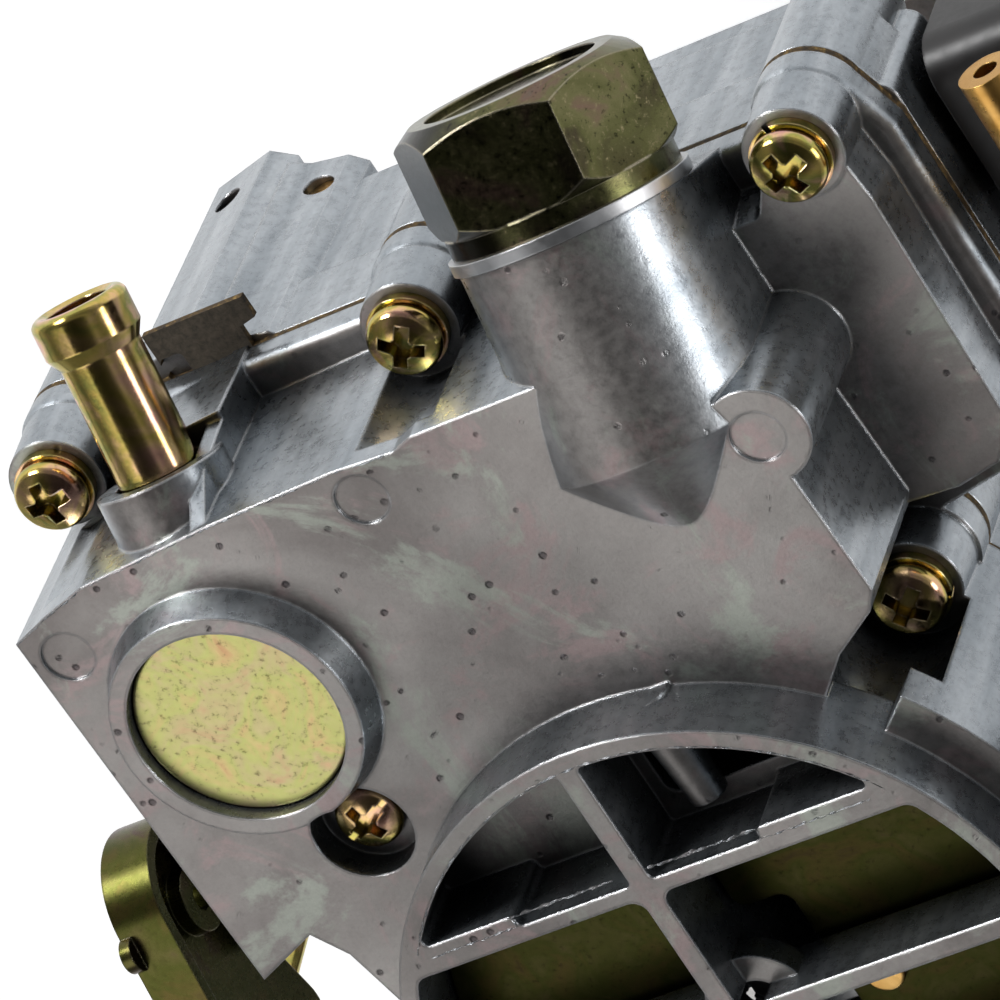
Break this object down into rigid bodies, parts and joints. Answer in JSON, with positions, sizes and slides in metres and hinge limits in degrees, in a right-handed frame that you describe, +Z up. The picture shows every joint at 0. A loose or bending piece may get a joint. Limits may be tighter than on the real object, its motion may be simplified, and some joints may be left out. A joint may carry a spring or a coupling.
{
  "type": "carburetor",
  "caption": "Two-barrel downdraught carburettor with cast air horn, float bowl, linked choke and throttle valves, accelerator pump and fuel fittings.",
  "frame": {"origin": "centre of the base flange's underside, on the air horn axis", "axes": "+Z up along the air horn axis, +Y towards the float bowl and fuel fittings, -X towards the linkage"},
  "size_m": [0.1336, 0.1432, 0.1239],
  "materials": {
    "cast_grey": "as-cast satin with dichromate patches",
    "cast_body": "as-cast satin",
    "yellow_zinc": "iridescent yellow zinc plating",
    "bright_steel": "bright turned steel",
    "spring_steel": "drawn spring wire",
    "brass_parts": "turned brass",
    "gasket_paper": "pressed fibre gasket",
    "phenolic": "black moulded phenolic",
    "float_brass": "soldered sheet brass",
    "seal_rubber": "nitrile rubber",
    "seal_aluminium": "soft aluminium washer"
  },
  "bodies": {
    "carburetor_body": {"adjusting_springs": "spring_steel", "air_horn_cover": "cast_grey", "cam_stud": "bright_steel", "choke_cap": "phenolic", "choke_cap_ring": "yellow_zinc", "choke_cap_screws": "yellow_zinc", "core_plug": "yellow_zinc", "cover_gasket": "gasket_paper", "cover_lock_washers": "yellow_zinc", "cover_screws": "yellow_zinc", "float_pin": "bright_steel", "fuel_nipple": "yellow_zinc", "inlet_strainer": "brass_parts", "insulator_block": "phenolic", "insulator_gaskets": "gasket_paper", "main_body": "cast_body", "main_jets": "brass_parts", "needle_seat": "brass_parts", "passage_plug": "brass_parts", "power_valve": "brass_parts", "primary_booster": "cast_body", "pump_return_spring": "spring_steel", "secondary_booster": "cast_body", "strainer_plug": "yellow_zinc", "strainer_plug_washer": "seal_aluminium", "thermostat_spring": "spring_steel", "throttle_body": "cast_body", "throttle_body_screws": "yellow_zinc", "throttle_return_spring": "spring_steel", "vacuum_tube": "brass_parts", "valve_nipple": "brass_parts", "vent_valve": "phenolic", "well_screw": "yellow_zinc"},
    "choke": {"choke_shaft": "bright_steel", "choke_plates": "yellow_zinc", "choke_plate_screws": "brass_parts", "choke_lever": "yellow_zinc"},
    "choke_link": {"choke_link_rod": "yellow_zinc"},
    "fast_idle": {"fast_idle_cam": "yellow_zinc"},
    "throttle": {"throttle_shaft": "bright_steel", "throttle_plates": "brass_parts", "throttle_plate_screws": "brass_parts", "throttle_lever": "yellow_zinc", "throttle_nut": "yellow_zinc", "spring_retainer": "yellow_zinc"},
    "pump_link": {"pump_link_rod": "yellow_zinc"},
    "pump_arm": {"pump_lever": "yellow_zinc"},
    "pump_piston": {"pump_plunger": "brass_parts", "pump_cup": "seal_rubber"},
    "float": {"fuel_float": "float_brass"},
    "needle": {"needle_valve": "bright_steel"},
    "idle_screw": {"idle_speed_screw": "brass_parts"},
    "primary_mixture": {"primary_mixture_screw": "brass_parts"},
    "secondary_mixture": {"secondary_mixture_screw": "brass_parts"}
  },
  "joints": [
    {"name": "choke_shaft_turn", "type": "hinge", "parent": "carburetor_body", "child": "choke", "pos_m": [0, -0.004, 0.1029], "axis": [-1, 0, 0], "range_deg": [0, 80]},
    {"name": "choke_link_swing", "type": "hinge", "parent": "choke", "child": "choke_link", "pos_m": [-0.0572, 0.002, 0.0869], "axis": [1, 0, 0], "range_deg": [0, 80]},
    {"name": "fast_idle_turn", "type": "hinge", "parent": "carburetor_body", "child": "fast_idle", "pos_m": [-0.0517, 0.002, 0.053], "axis": [-1, 0, 0], "range_deg": [0, 80]},
    {"name": "throttle_shaft_turn", "type": "hinge", "parent": "carburetor_body", "child": "throttle", "pos_m": [0, 0, 0.012], "axis": [-1, 0, 0], "range_deg": [0, 75]},
    {"name": "pump_link_swing", "type": "hinge", "parent": "throttle", "child": "pump_link", "pos_m": [-0.0432, -0.00793, 0.00591], "axis": [1, 0, 0], "range_deg": [0, 75]},
    {"name": "pump_lever_turn", "type": "hinge", "parent": "carburetor_body", "child": "pump_arm", "pos_m": [-0.034, -0.032, 0.097], "axis": [1, 0, 0], "range_deg": [0, 36.59]},
    {"name": "pump_stroke", "type": "slide", "parent": "carburetor_body", "child": "pump_piston", "axis": [0, 0, -1], "range_m": [0, 0.00754], "deforming": ["pump_return_spring"]},
    {"name": "float_swing", "type": "hinge", "parent": "carburetor_body", "child": "float", "pos_m": [0.0195, 0.041, 0.084], "axis": [-1, 0, 0], "range_deg": [0, 12]},
    {"name": "needle_lift", "type": "slide", "parent": "carburetor_body", "child": "needle", "axis": [0, 0, -1], "range_m": [0, 0.00105]},
    {"name": "idle_screw_turn", "type": "hinge", "parent": "carburetor_body", "child": "idle_screw", "pos_m": [-0.04325, 0.015, 0.038], "axis": [0, 0, 1], "range_deg": [-180, 720]},
    {"name": "primary_mixture_turn", "type": "hinge", "parent": "carburetor_body", "child": "primary_mixture", "pos_m": [-0.016, -0.04, 0.018], "axis": [0, 1, 0], "range_deg": [-720, 720]},
    {"name": "secondary_mixture_turn", "type": "hinge", "parent": "carburetor_body", "child": "secondary_mixture", "pos_m": [0.016, -0.04, 0.018], "axis": [0, 1, 0], "range_deg": [-720, 720]}
  ],
  "couplings": [
    {"joint": "choke_link_swing", "follows": "choke_shaft_turn", "ratio": 1},
    {"joint": "fast_idle_turn", "follows": "choke_shaft_turn", "ratio": 1},
    {"joint": "pump_link_swing", "follows": "throttle_shaft_turn", "ratio": 1},
    {"joint": "pump_lever_turn", "follows": "throttle_shaft_turn", "ratio": 0.48768},
    {"joint": "pump_stroke", "follows": "throttle_shaft_turn", "m_per_rad": 0.0057533},
    {"joint": "needle_lift", "follows": "float_swing", "m_per_rad": 0.005}
  ]
}
